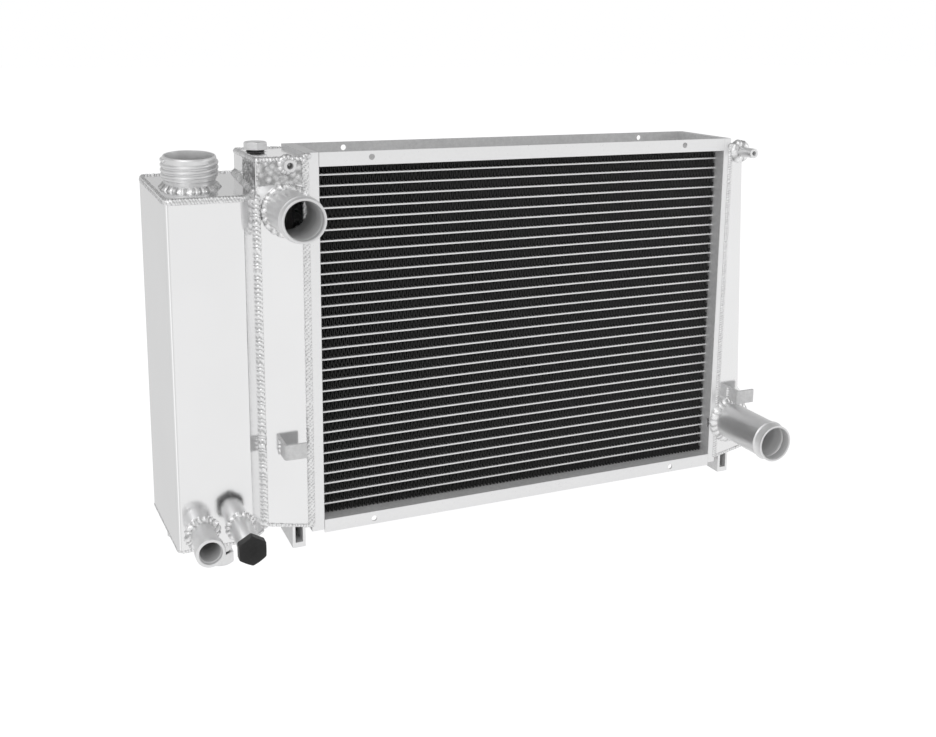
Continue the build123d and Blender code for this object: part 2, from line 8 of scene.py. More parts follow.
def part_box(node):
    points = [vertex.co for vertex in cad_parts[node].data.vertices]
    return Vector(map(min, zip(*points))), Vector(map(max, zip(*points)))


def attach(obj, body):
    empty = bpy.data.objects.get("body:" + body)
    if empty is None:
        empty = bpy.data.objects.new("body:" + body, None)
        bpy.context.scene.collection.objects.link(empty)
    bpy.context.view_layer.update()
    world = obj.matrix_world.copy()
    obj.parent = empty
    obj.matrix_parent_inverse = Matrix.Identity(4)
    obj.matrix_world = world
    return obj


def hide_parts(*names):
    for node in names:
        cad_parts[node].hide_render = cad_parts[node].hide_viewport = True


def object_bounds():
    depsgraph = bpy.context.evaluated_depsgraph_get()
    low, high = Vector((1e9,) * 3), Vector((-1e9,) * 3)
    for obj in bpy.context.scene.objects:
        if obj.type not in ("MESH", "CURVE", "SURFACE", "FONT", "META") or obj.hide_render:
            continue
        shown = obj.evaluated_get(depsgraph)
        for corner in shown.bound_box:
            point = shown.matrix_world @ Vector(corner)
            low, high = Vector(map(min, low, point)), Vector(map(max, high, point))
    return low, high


# A welded aluminium car radiator. Everything is in metres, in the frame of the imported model: X runs
# along the core, Y from the front to the rear, Z up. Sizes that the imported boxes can't give are
# named below. Weld beads, threads and fins are made by geometry nodes, necks and screws by turning
# outlines.

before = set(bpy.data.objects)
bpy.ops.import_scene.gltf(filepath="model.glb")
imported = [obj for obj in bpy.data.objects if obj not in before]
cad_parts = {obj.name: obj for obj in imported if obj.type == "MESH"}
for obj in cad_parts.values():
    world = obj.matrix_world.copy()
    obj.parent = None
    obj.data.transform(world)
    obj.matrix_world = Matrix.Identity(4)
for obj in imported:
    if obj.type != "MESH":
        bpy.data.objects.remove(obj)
cad_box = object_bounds()

MM = 0.001
RIGHT = Vector((1, 0, 0))
UP = Vector((0, 0, 1))
FRONT = Vector((0, -1, 0))
REAR = Vector((0, 1, 0))


# ---- node trees


class Signal:
    """One output socket, on which Python's operators add Math nodes."""

    def __init__(self, graph, socket):
        self.graph = graph
        self.socket = socket

    def out(self, key):
        """Another output of the same node."""
        return Signal(self.graph, self.socket.node.outputs[key])

    def math(self, operation, *values):
        """A Math node's result on the given values, numbers or signals."""
        return self.graph.add("ShaderNodeMath", dict(enumerate(values)), operation=operation)

    def __add__(self, other):
        return self.math("ADD", self, other)

    __radd__ = __add__

    def __sub__(self, other):
        return self.math("SUBTRACT", self, other)

    def __rsub__(self, other):
        return self.math("SUBTRACT", other, self)

    def __mul__(self, other):
        return self.math("MULTIPLY", self, other)

    __rmul__ = __mul__

    def __truediv__(self, other):
        return self.math("DIVIDE", self, other)

    def __pow__(self, other):
        return self.math("POWER", self, other)

    def __abs__(self):
        return self.math("ABSOLUTE", self)

    def sin(self):
        return self.math("SINE", self)

    def cos(self):
        return self.math("COSINE", self)

    def above(self, other):
        return self.math("MAXIMUM", self, other)

    def below(self, other):
        return self.math("MINIMUM", self, other)

    def between(self, low, high):
        return self.above(low).below(high)

    def whole(self):
        return self.math("ROUND", self)


class Graph:
    """One node tree, with a single way to add a node."""

    def __init__(self, tree):
        self.tree = tree

    def add(self, kind, sockets=None, output=0, stops=None, **settings):
        """Add a node: its settings come first, then its sockets' values or links."""
        node = self.tree.nodes.new(kind)
        for name, value in settings.items():
            setattr(node, name, value)
        if stops:
            ramp = node.color_ramp.elements
            while len(ramp) < len(stops):
                ramp.new(0.5)
            for element, (place, colour) in zip(ramp, stops):
                element.position = place
                element.color = (*colour, 1)
        for key, value in (sockets or {}).items():
            if isinstance(value, Signal):
                self.tree.links.new(value.socket, node.inputs[key])
            else:
                node.inputs[key].default_value = value
        return Signal(self, node.outputs[output]) if node.outputs else None

    def vector(self, operation, *values):
        """A Vector Math node's vector."""
        return self.add("ShaderNodeVectorMath", dict(enumerate(values)), operation=operation)

    def scaled(self, vector, factor):
        return self.add("ShaderNodeVectorMath", {0: vector, "Scale": factor}, operation="SCALE")

    def mixed(self, factor, first, second):
        """A colour between two colours."""
        sockets = {0: factor, 6: first, 7: second}
        return self.add("ShaderNodeMix", sockets, output=2, data_type="RGBA")


# ---- finishes


def new_finish(name):
    """A material with an empty tree, and the object's own coordinates in it."""
    material = bpy.data.materials.new(name)
    material.use_nodes = True
    material.node_tree.nodes.clear()
    graph = Graph(material.node_tree)
    place = graph.add("ShaderNodeTexCoord", output="Object")
    return material, graph, place


def surface(graph, **sockets):
    """End a material's tree in a Principled shader. Underscores in names stand for spaces."""
    named = {name.replace("_", " "): value for name, value in sockets.items()}
    shader = graph.add("ShaderNodeBsdfPrincipled", named)
    graph.add("ShaderNodeOutputMaterial", {"Surface": shader})


def noise(graph, place, scale, stretch=None, detail=3.0, roughness=0.5):
    """Noise over the object, stretched by making one direction's scale smaller."""
    if stretch:
        place = graph.add("ShaderNodeMapping", {"Vector": place, "Scale": stretch})
    sockets = {"Vector": place, "Scale": scale, "Detail": detail, "Roughness": roughness}
    return graph.add("ShaderNodeTexNoise", sockets)


def bump(graph, height, distance, strength):
    """A surface normal tilted by a height in units of the distance."""
    sockets = {"Height": height, "Distance": distance, "Strength": strength}
    return graph.add("ShaderNodeBump", sockets)


def grey(level):
    return (level, level, level * 1.004, 1)


def polished_sheet():
    """Bright tank sheet: near mirror, with a faint vertical grain and soft clouds."""
    material, graph, place = new_finish("polished_sheet")
    grain = noise(graph, place, 1500.0, (1, 1, 0.02), detail=2.0)
    cloud = noise(graph, place, 11.0, detail=4.0)
    marks = noise(graph, place, 420.0, (1, 1, 0.35), detail=5.0, roughness=0.7)
    handling = (marks - 0.56).above(0) * 6.0
    colour = graph.mixed(cloud, grey(0.86), grey(0.93))
    rough = 0.085 + grain * 0.03 + cloud * 0.05 + handling.below(1) * 0.05
    surface(
        graph,
        Base_Color=colour,
        Metallic=1.0,
        Roughness=rough,
        Normal=bump(graph, grain * 0.6 + cloud * 4.0, 0.02 * MM, 0.35),
    )
    return material


def rolled_sheet():
    """Channel, header and bracket sheet: bright on the outer faces; elsewhere less glossy and
    mottled, with a darker base colour that is painted shade.
    """
    material, graph, place = new_finish("rolled_sheet")
    depth = graph.add("ShaderNodeSeparateXYZ", {0: place}, output="Y")
    # Away from the front and rear faces the base colour darkens: painted shade in the recesses. The
    # lower metallic and higher roughness there are a matt finish.
    from_face = abs(depth).below(abs(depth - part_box("left_header")[1].y))
    matt_and_shaded = (from_face / (0.8 * MM)).between(0, 1)
    grain = noise(graph, place, 1300.0, (0.03, 1, 1), detail=2.0)
    mottle = noise(graph, place, 330.0, detail=4.0, roughness=0.65)
    cloud = noise(graph, place, 16.0, detail=3.0)
    bright = graph.mixed(mottle * 0.6 + cloud * 0.4, grey(0.80), grey(0.93))
    dull = graph.mixed(mottle * 0.7 + cloud * 0.3, grey(0.46), grey(0.84))
    surface(
        graph,
        Base_Color=graph.mixed(matt_and_shaded, bright, dull),
        Metallic=1 - matt_and_shaded * 0.6,
        Roughness=0.2 + grain * 0.08 + mottle * 0.12 + matt_and_shaded * 0.25,
        Normal=bump(graph, grain * 0.5 + mottle, 0.05 * MM, 0.5),
    )
    return material


def turned_metal(name, stretch):
    """A turned fitting: fine tool lines round its axis, which the stretch picks."""
    material, graph, place = new_finish(name)
    lines = noise(graph, place, 2600.0, stretch, detail=2.0)
    bands = noise(graph, place, 260.0, stretch, detail=2.0)
    stain = noise(graph, place, 70.0, detail=5.0, roughness=0.6)
    inside = graph.add("ShaderNodeAttribute", output="Fac", attribute_name="bore")
    colour = graph.mixed(stain, grey(0.74), grey(0.9))
    surface(
        graph,
        Base_Color=graph.mixed(inside, colour, graph.mixed(bands, grey(0.56), grey(0.74))),
        Metallic=0.8 - inside * 0.65,
        Roughness=0.24 + lines * 0.1 + stain * 0.22 + inside * 0.1,
        Normal=bump(graph, lines * 0.4 + bands, 0.03 * MM, 0.6),
    )
    return material


def weld_metal():
    """Weld bead: bright crests and a rough skin, with painted shade greying the valleys where each
    ripple meets the next and dark specks of painted shade for pits.
    """
    material, graph, place = new_finish("weld_metal")
    ripple = graph.add("ShaderNodeAttribute", output="Fac", attribute_name="ripple")
    skin = noise(graph, place, 900.0, detail=5.0, roughness=0.7)
    blotch = noise(graph, place, 170.0, detail=4.0)
    # The colour darkens in the valleys between ripples and at noisy specks for pits: painted shade.
    # The blotches are the metal's own uneven tone.
    valley = 1 - ripple.between(0, 1)
    pit_shade = ((noise(graph, place, 1250.0, detail=2.0) - 0.56) * 7).between(0, 1)
    shade = (valley * 0.95 + blotch * 0.5 + pit_shade * 0.4 - 0.24).between(0, 1)
    colour = graph.mixed(shade, grey(0.97), grey(0.4))
    surface(
        graph,
        Base_Color=colour,
        Metallic=1.0,
        Roughness=0.2 + skin * 0.14 + valley * 0.16,
        Normal=bump(graph, skin + blotch * 1.5, 0.3 * MM, 0.7),
    )
    return material


def fin_paint():
    """Black painted foil: thin grey front and rear edges that are a painted highlight, louvre lines
    down the folds, light dust.
    """
    material, graph, place = new_finish("fin_paint")
    low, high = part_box("core_fins")
    depth = graph.add("ShaderNodeSeparateXYZ", {0: place}, output="Y")
    # Within a quarter millimetre of the front and rear faces the foil is lightened: a painted
    # highlight on its edges.
    edge = 1 - ((depth - low.y).below(high.y - depth) * (1 / (0.25 * MM))).between(0, 1)
    dust = noise(graph, place, 260.0, (1, 0.3, 1), detail=4.0, roughness=0.7)
    speck = noise(graph, place, 1400.0, detail=3.0)
    louvre = (depth * (2 * math.pi / (1.2 * MM))).sin()
    tone = (dust * 0.35 + speck * 0.2 + edge * 0.6 - 0.15).between(0, 1)
    surface(
        graph,
        Base_Color=graph.mixed(tone, grey(0.02), grey(0.16)),
        Metallic=0.0,
        Roughness=0.38 + dust * 0.2,
        Normal=bump(graph, louvre, 0.25 * MM, 0.6),
    )
    return material


def tube_metal():
    """Flat tubes: bright rounded edges with a fine grain along them."""
    material, graph, place = new_finish("tube_metal")
    grain = noise(graph, place, 1500.0, (0.02, 1, 1), detail=2.0)
    flux = noise(graph, place, 240.0, detail=4.0, roughness=0.65)
    surface(
        graph,
        Base_Color=graph.mixed(flux, grey(0.97), grey(0.84)),
        Metallic=0.75,
        Roughness=0.34 + grain * 0.1 + flux * 0.1,
        Normal=bump(graph, grain + flux, 0.03 * MM, 0.5),
    )
    return material


def black_anodised():
    """The blanking plug: satin black with a fine tooth, and lighter edges that are a painted
    highlight.
    """
    material, graph, place = new_finish("black_anodised")
    # Sharp edges are lightened: a painted highlight.
    painted_edge_highlight = graph.add("ShaderNodeAttribute", output="Fac", attribute_name="highlit_edges")
    tooth = noise(graph, place, 2200.0, detail=3.0, roughness=0.6)
    cloud = noise(graph, place, 300.0, detail=4.0)
    tone = (tooth * 0.35 + cloud * 0.25 + painted_edge_highlight * 0.6 - 0.15).between(0, 1)
    surface(
        graph,
        Base_Color=graph.mixed(tone, grey(0.003), grey(0.055)),
        Metallic=0.0,
        Roughness=0.34 + tooth * 0.2,
        Normal=bump(graph, tooth, 0.12 * MM, 0.8),
        Specular_IOR_Level=0.28,
    )
    return material


def seal_rubber():
    """Smooth black sealing rings with a faint bloom."""
    material, graph, place = new_finish("seal_rubber")
    bloom = noise(graph, place, 500.0, detail=4.0)
    surface(
        graph,
        Base_Color=graph.mixed(bloom, grey(0.008), grey(0.035)),
        Metallic=0.0,
        Roughness=0.4 + bloom * 0.2,
        Normal=bump(graph, bloom, 0.04 * MM, 0.4),
    )
    return material


SHEET = polished_sheet()
ROLLED = rolled_sheet()
TURNED_ALONG_Y = turned_metal("turned_along_y", (0.02, 1, 0.02))
TURNED_ALONG_Z = turned_metal("turned_along_z", (0.02, 0.02, 1))
WELD = weld_metal()
FIN = fin_paint()
TUBE = tube_metal()
ANODISED = black_anodised()
RUBBER = seal_rubber()


# ---- meshes


def added(name, data):
    """A new object in the scene."""
    thing = bpy.data.objects.new(name, data)
    bpy.context.scene.collection.objects.link(thing)
    return thing


def spoke_at(axis, angle):
    """The direction square to an axis at an angle from X round it."""
    return RIGHT * math.cos(angle) + axis.cross(RIGHT) * math.sin(angle)


def show(name, meshes, material, nodes, body="radiator"):
    """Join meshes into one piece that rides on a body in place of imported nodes."""
    joined = bmesh.new()
    for mesh in meshes:
        joined.from_mesh(mesh)
        bpy.data.meshes.remove(mesh)
    result = bpy.data.meshes.new(name)
    joined.to_mesh(result)
    joined.free()
    result.materials.clear()
    result.materials.append(material)
    result.polygons.foreach_set("material_index", [0] * len(result.polygons))
    piece = added(name, result)
    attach(piece, body)
    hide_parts(*nodes)
    return piece


def softened(outline, radius, steps=3):
    """A closed outline of (radius, height) points with its corners rounded."""
    points = [Vector(point) for point in outline]
    result = []
    for before, corner, after in zip(points[-1:] + points[:-1], points, points[1:] + points[:1]):
        arriving = corner - before
        leaving = after - corner
        turn = arriving.angle(leaving, 0.0)
        if turn < math.radians(15):
            result.append(corner)
            continue
        reach = min(radius, 0.45 * arriving.length, 0.45 * leaving.length)
        start = corner - arriving.normalized() * reach
        end = corner + leaving.normalized() * reach
        for step in range(steps + 1):
            share = step / steps
            result.append(start.lerp(corner, share).lerp(corner.lerp(end, share), share))
    return [tuple(point) for point in result]


def turned(outline, base, axis, segments=96, radius_at=None, sharp=35.0, bore=0.0):
    """Turn an outline of (radius, height) points about an axis square to X.

    Points nearer the axis than the bore are marked, so that a finish can dull them.
    """
    axis = axis.normalized()
    built = bmesh.new()
    rings = []
    for segment in range(segments):
        angle = 2 * math.pi * segment / segments
        spoke = spoke_at(axis, angle)
        points = radius_at(angle) if radius_at else outline
        ring = [base + spoke * radius + axis * height for radius, height in points]
        rings.append([built.verts.new(point) for point in ring])
    for ring, following in zip(rings, rings[1:] + rings[:1]):
        for index in range(len(ring)):
            after = (index + 1) % len(ring)
            built.faces.new((ring[index], ring[after], following[after], following[index]))
    bmesh.ops.remove_doubles(built, verts=built.verts, dist=1e-6)
    bmesh.ops.dissolve_degenerate(built, edges=built.edges, dist=1e-7)
    bmesh.ops.recalc_face_normals(built, faces=built.faces)
    mesh = bpy.data.meshes.new("turned")
    built.to_mesh(mesh)
    built.free()
    offsets = [vertex.co - base for vertex in mesh.vertices]
    reach = [(offset - axis * offset.dot(axis)).length for offset in offsets]
    marks = mesh.attributes.new("bore", "FLOAT", "POINT")
    marks.data.foreach_set("value", [float(radius < bore) for radius in reach])
    mesh.polygons.foreach_set("use_smooth", [True] * len(mesh.polygons))
    mesh.set_sharp_from_angle(angle=math.radians(sharp))
    return mesh


def tube_outline(outer, bore, length, corner=0.5 * MM, start=0.0):
    """A plain tube's outline with softened ends."""
    return softened([(bore, start), (outer, start), (outer, length), (bore, length)], corner)


# ---- geometry node trees


def geometry_tree(name, inputs):
    """A geometry tree with named inputs, and the signals of those inputs."""
    tree = bpy.data.node_groups.new(name, "GeometryNodeTree")
    tree.interface.new_socket("Geometry", in_out="OUTPUT", socket_type="NodeSocketGeometry")
    tree.interface.new_socket("Geometry", in_out="INPUT", socket_type="NodeSocketGeometry")
    for title, kind, value in inputs:
        item = tree.interface.new_socket(title, in_out="INPUT", socket_type=kind)
        if value is not None:
            item.default_value = value
    graph = Graph(tree)
    start = graph.add("NodeGroupInput")
    return tree, graph, start


def finished_geometry(graph, geometry, material):
    """End a geometry tree: instances made real, a material set."""
    real = graph.add("GeometryNodeRealizeInstances", {"Geometry": geometry})
    painted = graph.add("GeometryNodeSetMaterial", {"Geometry": real, "Material": material})
    graph.add("NodeGroupOutput", {0: painted})


def grown(tree, source, **values):
    """Run a geometry tree on a mesh and return the result as a plain mesh."""
    holder = added(tree.name, source)
    modifier = holder.modifiers.new(tree.name, "NODES")
    modifier.node_group = tree
    wanted = {title.replace("_", " "): value for title, value in values.items()}
    for item in tree.interface.items_tree:
        if item.in_out == "INPUT" and item.name in wanted:
            modifier[item.identifier] = wanted[item.name]
    bpy.context.view_layer.update()
    graph = bpy.context.evaluated_depsgraph_get()
    mesh = bpy.data.meshes.new_from_object(
        holder.evaluated_get(graph), preserve_all_data_layers=True, depsgraph=graph
    )
    holder.modifiers.remove(modifier)
    bpy.data.objects.remove(holder)
    bpy.data.meshes.remove(source)
    return mesh


FLOAT = "NodeSocketFloat"
WHOLE = "NodeSocketInt"
MATERIAL = "NodeSocketMaterial"


def with_ripple(graph, grid, crest):
    """Keep a bead's crests on its flat grid, before the grid is bent."""
    return graph.add(
        "GeometryNodeStoreNamedAttribute",
        {"Geometry": grid, "Name": "ripple", "Value": crest},
        data_type="FLOAT",
        domain="POINT",
    )


def bead_tree():
    """A bead along a seam: a closed oval section with crescent ripples and a rough skin."""
    tree, graph, start = geometry_tree(
        "bead_along_seam",
        [
            ("Width", FLOAT, 6 * MM),
            ("Rise", FLOAT, 1.8 * MM),
            ("Sink", FLOAT, 1.0 * MM),
            ("Pitch", FLOAT, 3.6 * MM),
            ("Depth", FLOAT, 0.4),
            ("Slant", FLOAT, 0.0),
            ("Crescent", FLOAT, 0.0),
            ("Wander", FLOAT, 0.3 * MM),
            ("Skin", FLOAT, 0.25 * MM),
            ("Unevenness", FLOAT, 2.2),
            ("Closed", FLOAT, 0.0),
            ("Along", WHOLE, 200),
            ("Around", WHOLE, 13),
            ("Material", MATERIAL, None),
        ],
    )
    curve = graph.add("GeometryNodeMeshToCurve", {0: start.out("Geometry")})
    length = graph.add("GeometryNodeCurveLength", {0: curve})
    grid = graph.add(
        "GeometryNodeMeshGrid",
        {0: 1.0, 1: 1.0, 2: start.out("Along"), 3: start.out("Around")},
    )
    place = graph.add("GeometryNodeInputPosition")
    split = graph.add("ShaderNodeSeparateXYZ", {0: place})
    share = split + 0.5
    angle = split.out("Y") * (2 * math.pi)
    outward = graph.add(
        "GeometryNodeInputNamedAttribute", {"Name": "outward"}, data_type="FLOAT_VECTOR"
    )
    sample = graph.add(
        "GeometryNodeSampleCurve",
        {"Curves": curve, "Value": outward, "Factor": share},
        output="Position",
        mode="FACTOR",
        data_type="FLOAT_VECTOR",
        use_all_curves=True,
    )
    out = graph.vector("NORMALIZE", sample.out("Value"))
    side = graph.vector("NORMALIZE", graph.vector("CROSS_PRODUCT", out, sample.out("Tangent")))

    across = angle.sin()
    lift = angle.cos()
    count = (length / start.out("Pitch")).whole()
    bend = across * across
    coarse = graph.add("ShaderNodeTexNoise", {"Vector": sample, "Scale": 160.0, "Detail": 2.0})
    uneven = (coarse - 0.5) * start.out("Unevenness")
    phase = share * count + across * start.out("Slant") + bend * start.out("Crescent") + uneven
    crest = abs((phase * math.pi).sin()) ** 0.7
    depth = start.out("Depth")
    swell = 1 - depth * (1 - crest)

    from_end = share.below(1 - share) * length / (start.out("Width") * 0.5)
    shy = 1 - from_end.between(0, 1)
    taper = (1 - shy * shy).above(0) ** 0.5
    taper = taper.above(start.out("Closed"))

    beside = graph.scaled(side, across * start.out("Width") * 0.5)
    around = graph.vector("ADD", sample, beside)
    fine = graph.add("ShaderNodeTexNoise", {"Vector": around, "Scale": 620.0, "Detail": 3.0})
    shift = (coarse - 0.5) * 2 * start.out("Wander")
    skin = (fine - 0.5) * 2 * start.out("Skin") * taper
    wide = across * start.out("Width") * 0.5 * taper * (1 - (1 - swell) * 0.45)
    tall = (lift.above(0) * start.out("Rise") * swell + lift.below(0) * start.out("Sink")) * taper
    moved = graph.vector("ADD", sample, graph.scaled(side, wide + shift + skin * across))
    moved = graph.vector("ADD", moved, graph.scaled(out, tall + skin * lift.above(0)))

    stored = with_ripple(graph, grid, crest * taper)
    placed = graph.add("GeometryNodeSetPosition", {"Geometry": stored, "Position": moved})
    sockets = {"Geometry": placed, "Distance": 0.004 * MM}
    merged = graph.add("GeometryNodeMergeByDistance", sockets)
    smooth = graph.add("GeometryNodeSetShadeSmooth", {"Geometry": merged})
    finished_geometry(graph, smooth, start.out("Material"))
    return tree


BEAD = bead_tree()


def fin_tree():
    """Corrugated foil strips: one folded strip, thickened, then copied once for each row."""
    tree, graph, start = geometry_tree(
        "corrugated_fins",
        [
            ("Width", FLOAT, 0.4),
            ("Depth", FLOAT, 0.06),
            ("Height", FLOAT, 0.008),
            ("Folds", WHOLE, 100),
            ("Rows", WHOLE, 33),
            ("Row Pitch", FLOAT, 0.01),
            ("Foil", FLOAT, 0.15 * MM),
            ("Material", MATERIAL, None),
        ],
    )
    steps = start.out("Folds") * 6
    grid = graph.add(
        "GeometryNodeMeshGrid",
        {0: start.out("Width"), 1: start.out("Depth"), 2: steps + 1, 3: 2},
    )
    place = graph.add("GeometryNodeInputPosition")
    split = graph.add("ShaderNodeSeparateXYZ", {0: place})
    step = ((split / start.out("Width") + 0.5) * steps).whole()
    wave = ((step * (math.pi / 3)).sin() * 1.3).between(-1, 1)
    rise = (start.out("Height") - start.out("Foil")) * 0.5
    point = graph.add("ShaderNodeCombineXYZ", {0: split, 1: split.out("Y"), 2: wave * rise})
    folded = graph.add("GeometryNodeSetPosition", {"Geometry": grid, "Position": point})
    raised = graph.add(
        "GeometryNodeExtrudeMesh",
        {"Mesh": folded, "Offset Scale": start.out("Foil"), "Individual": False},
        mode="FACES",
    )
    under = graph.add("GeometryNodeFlipFaces", {0: folded})
    both = graph.add("GeometryNodeJoinGeometry", {0: raised})
    graph.tree.links.new(under.socket, both.socket.node.inputs[0])
    strip = graph.add("GeometryNodeMergeByDistance", {"Geometry": both, "Distance": 0.002 * MM})
    offset = graph.add("ShaderNodeCombineXYZ", {2: start.out("Row Pitch")})
    first = graph.add(
        "ShaderNodeCombineXYZ", {2: (start.out("Rows") - 1) * start.out("Row Pitch") * -0.5}
    )
    rows = graph.add(
        "GeometryNodeMeshLine",
        {"Count": start.out("Rows"), "Start Location": first, "Offset": offset},
        mode="OFFSET",
    )
    placed = graph.add("GeometryNodeInstanceOnPoints", {"Points": rows, "Instance": strip})
    finished_geometry(graph, placed, start.out("Material"))
    return tree


# ---- seams


def seam_mesh(seam, closed):
    """A chain of edges through (point, outward) pairs, with the outward kept at each point."""
    mesh = bpy.data.meshes.new("seam")
    last = len(seam) - 1
    edges = [(index, index + 1) for index in range(last)]
    if closed:
        edges.append((last, 0))
    mesh.from_pydata([point for point, _ in seam], edges, [])
    outward = mesh.attributes.new("outward", "FLOAT_VECTOR", "POINT")
    for index, (_, direction) in enumerate(seam):
        outward.data[index].vector = direction
    return mesh


def bead(seam, width, rise, pitch, depth=0.4, step=0.55 * MM, closed=False, **values):
    """A weld bead along a seam, in metres."""
    points = [point for point, _ in seam]
    if closed:
        points.append(points[0])
    length = sum((b - a).length for a, b in zip(points, points[1:]))
    return grown(
        BEAD,
        seam_mesh(seam, closed),
        Width=width,
        Rise=rise,
        Pitch=pitch,
        Depth=depth,
        Closed=float(closed),
        Along=int(length / step) + 1,
        Material=WELD,
        **values,
    )


def show_beads(name, meshes, node):
    """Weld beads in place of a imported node's."""
    show(name, meshes, WELD, [node])


def straight_seam(start, end, outward, pieces=12):
    """A straight seam with one outward direction."""
    start = Vector(start)
    end = Vector(end)
    outward = Vector(outward).normalized()
    return [(start.lerp(end, index / pieces), outward) for index in range(pieces + 1)]


def ring_seam(centre, axis, radius, flare=1.0, pieces=72):
    """A seam round a neck's foot. Its outward direction lies between the spoke and the axis."""
    seam = []
    for index in range(pieces):
        spoke = spoke_at(axis, 2 * math.pi * index / pieces)
        seam.append((centre + spoke * radius, (spoke * flare + axis).normalized()))
    return seam


def edge_seam(corners, bend, tilt, steps=5):
    """A seam along a plate's edge with rounded corners, its outward on the right of the way."""
    corners = [Vector(corner) for corner in corners]
    path = [corners[0]]
    for before, corner, after in zip(corners, corners[1:], corners[2:]):
        start = corner + (before - corner).normalized() * bend
        end = corner + (after - corner).normalized() * bend
        for step in range(steps + 1):
            share = step / steps
            path.append(start.lerp(corner, share).lerp(corner.lerp(end, share), share))
    path.append(corners[-1])
    seam = []
    for index, point in enumerate(path):
        along = path[min(index + 1, len(path) - 1)] - path[max(index - 1, 0)]
        side = Vector((along.y, -along.x, 0)).normalized()
        seam.append((point, (side + tilt).normalized()))
    return seam


def helix_seam(base, axis, radius, pitch, start, turns, per_turn=72):
    """A right-handed helix round an axis, with its outward along the spokes."""
    seam = []
    for index in range(int(turns * per_turn) + 1):
        spoke = spoke_at(axis, 2 * math.pi * index / per_turn)
        height = start + pitch * index / per_turn
        seam.append((base + spoke * radius + axis * height, spoke))
    return seam


def thread(base, axis, root, rise, pitch, start, turns, width, step=0.6 * MM):
    """A screw thread's ridge, with its ends run out."""
    seam = helix_seam(base, axis, root, pitch, start, turns)
    return bead(
        seam, width, rise, pitch, depth=0.0, step=step, Sink=0.3 * MM, Wander=0.0, Skin=0.0,
        Around=17,
    )


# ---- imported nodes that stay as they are

PLAIN_NODES = {
    SHEET: (
        "expansion_shell", "expansion_top", "expansion_bottom", "left_end_tank", "left_tank_top",
        "left_tank_bottom", "right_end_tank", "right_tank_top", "right_tank_bottom",
    ),
    ROLLED: (
        "top_channel", "bottom_channel", "left_header", "right_header", "left_tab", "right_tab",
        "left_foot", "right_foot",
    ),
    TUBE: ("core_tubes",),
    TURNED_ALONG_Z: ("drain_bung", "bleed_bung", "locating_peg"),
}

for material, nodes in PLAIN_NODES.items():
    for node in nodes:
        for material_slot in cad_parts[node].material_slots:
            material_slot.material = material


# ---- fins


def fins():
    low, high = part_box("core_fins")
    rows = 33
    pitch = 10 * MM
    fold = 3.7 * MM
    mesh = grown(
        fin_tree(),
        bpy.data.meshes.new("strip"),
        Width=high.x - low.x,
        Depth=high.y - low.y,
        Height=high.z - low.z - (rows - 1) * pitch,
        Folds=int((high.x - low.x) / fold),
        Rows=rows,
        Row_Pitch=pitch,
        Material=FIN,
    )
    mesh.transform(Matrix.Translation((low + high) / 2))
    show("fin_strips", [mesh], FIN, ["core_fins"])


fins()


# ---- necks


def hose_outline(outer, wall, length, land, bead_width=3.6 * MM, bead_rise=1.3 * MM, steps=8):
    """A hose neck rolled from tube: its bead swells outside and leaves a groove inside."""
    start = length - land - bead_width
    outside = []
    inside = []
    for step in range(steps + 1):
        share = step / steps
        swell = bead_rise * (0.5 - 0.5 * math.cos(2 * math.pi * share))
        outside.append((outer + swell, start + bead_width * share))
        inside.append((outer - wall + swell, start + bead_width * share))
    ends = softened([(outer - wall, length - 1 * MM), (outer, length - 1 * MM), (outer, length),
                     (outer - wall, length)], 0.7 * MM)
    mouth = [point for point in ends if point[1] > length - 0.9 * MM]
    return [(outer - wall, 0), (outer, 0), *outside, *mouth, *reversed(inside)]


def foot_of(node):
    """The centre of a forward neck's foot, and its length."""
    low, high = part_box(node)
    return Vector(((low.x + high.x) / 2, high.y, (low.z + high.z) / 2)), high.y - low.y


HOSE_OUTER = 19.0 * MM
HOSE_TUBE_WALL = 2.2 * MM

inlet_foot, inlet_length = foot_of("inlet_neck")
outlet_foot, outlet_length = foot_of("outlet_neck")
small_foot, small_length = foot_of("expansion_outlet")
port_foot, port_length = foot_of("sensor_port")
bleed_tube_foot, bleed_tube_length = foot_of("bleed_nipple")
vent_tube_foot, vent_tube_length = foot_of("vent_nipple")

for name, node, foot, length, land in (
    ("hose_neck_inlet", "inlet_neck", inlet_foot, inlet_length, 6.0 * MM),
    ("hose_neck_outlet", "outlet_neck", outlet_foot, outlet_length, 8.5 * MM),
):
    outline = hose_outline(HOSE_OUTER, HOSE_TUBE_WALL, length, land)
    mesh = turned(outline, foot, FRONT, 128, bore=HOSE_OUTER - HOSE_TUBE_WALL * 0.6)
    show(name, [mesh], TURNED_ALONG_Y, [node])


def small_outlet():
    bore = 8.8 * MM
    tube = 10.8 * MM
    mouth = 12.6 * MM
    land = 9.0 * MM
    lip = 9.7 * MM
    outline = softened(
        [
            (bore, 0),
            (tube, 0),
            (tube, small_length - land - 2.5 * MM),
            (mouth, small_length - land),
            (mouth, small_length),
            (lip, small_length),
            (lip, small_length - 3.0 * MM),
            (bore, small_length - 3.6 * MM),
        ],
        0.8 * MM,
    )
    mesh = turned(outline, small_foot, FRONT, 96, bore=lip + 0.2 * MM)
    show("hose_neck_small", [mesh], TURNED_ALONG_Y, ["expansion_outlet"])


small_outlet()

PORT_OUTER = 10.0 * MM
PORT_BORE = 7.5 * MM
BLEED_TUBE = 5.5 * MM
BLEED_TUBE_BORE = 2.75 * MM
VENT_TUBE = 4.8 * MM
VENT_TUBE_BORE = 2.25 * MM

